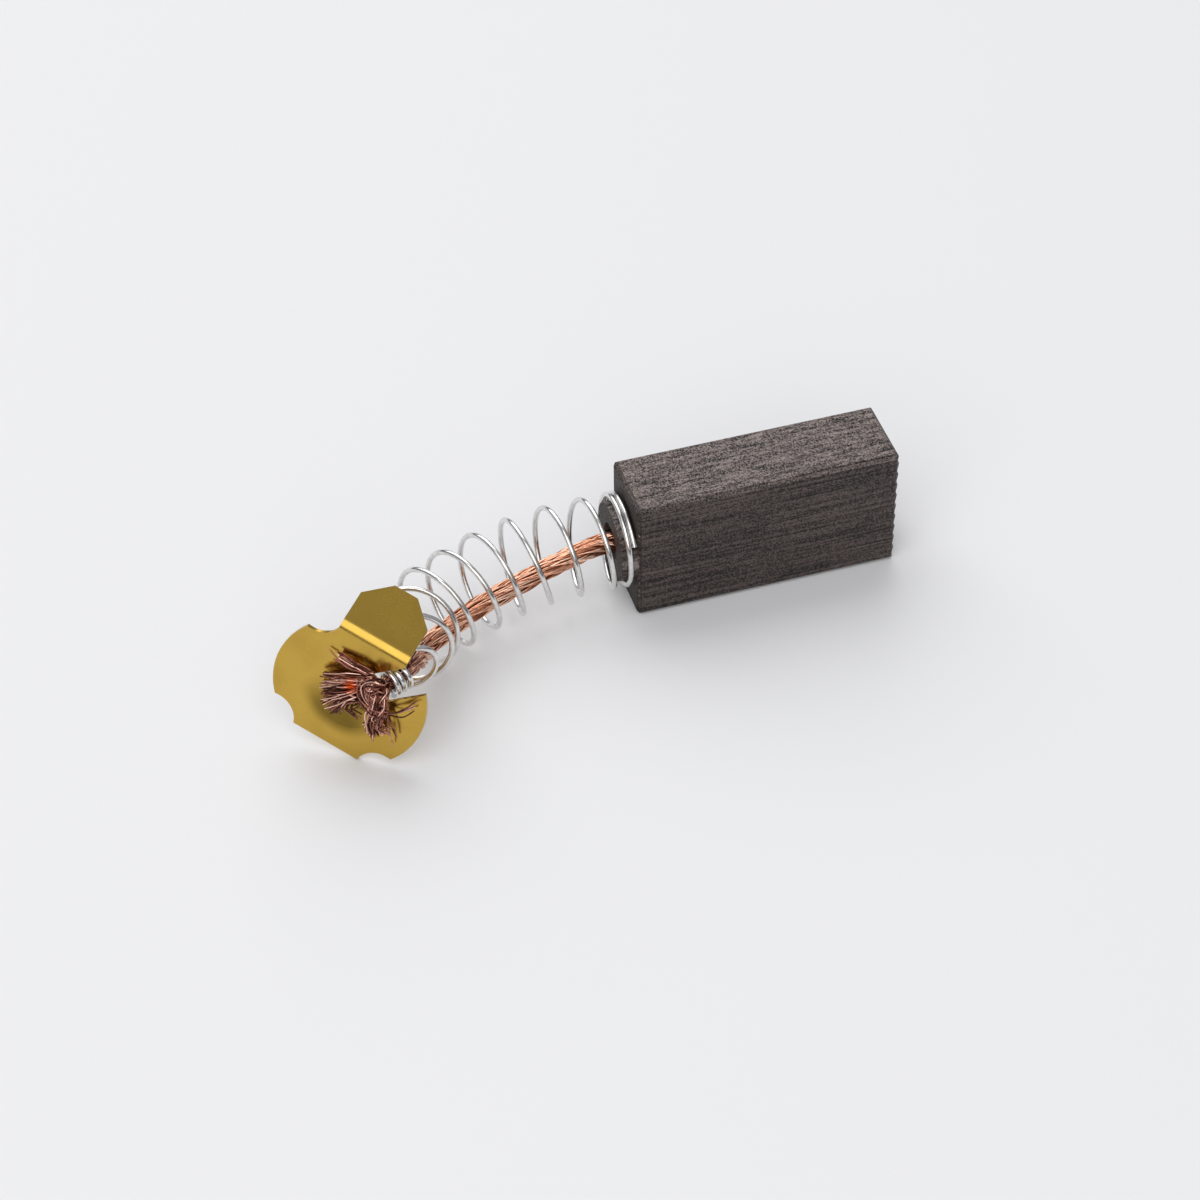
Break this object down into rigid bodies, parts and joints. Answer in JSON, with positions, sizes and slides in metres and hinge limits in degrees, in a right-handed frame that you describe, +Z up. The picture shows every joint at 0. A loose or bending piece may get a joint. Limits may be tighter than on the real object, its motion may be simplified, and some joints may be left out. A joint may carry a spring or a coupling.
{
  "type": "carbon brush",
  "caption": "Carbon motor brush: graphite block with a copper shunt, a compression spring round it and a stamped brass terminal cap with a bent ear.",
  "frame": {"origin": "centre of the carbon block's bottom face, on which the brush lies", "axes": "+X along the block to its wear face, +Z up"},
  "size_m": [0.0477, 0.0163, 0.0112],
  "materials": {
    "carbon": "fine sawn graphite, dull, with a faint sparkle",
    "copper_powder": "pressed copper powder, dull",
    "copper_rope": "bright fine copper strands, tarnished where they fray",
    "spring_wire": "drawn bright wire",
    "brass": "bright rolled sheet"
  },
  "bodies": {
    "block": {"carbon_block": "carbon", "tamped_copper": "copper_powder", "shunt": "copper_rope", "spring": "spring_wire"},
    "cap": {"terminal_cap": "brass"}
  },
  "joints": [
    {"name": "spring_compression", "type": "slide", "parent": "block", "child": "cap", "axis": [0.8873, 0.4612, 0], "range_m": [0, 0.008], "stiffness_N_per_m": 400, "deforming": ["spring", "shunt"]}
  ]
}
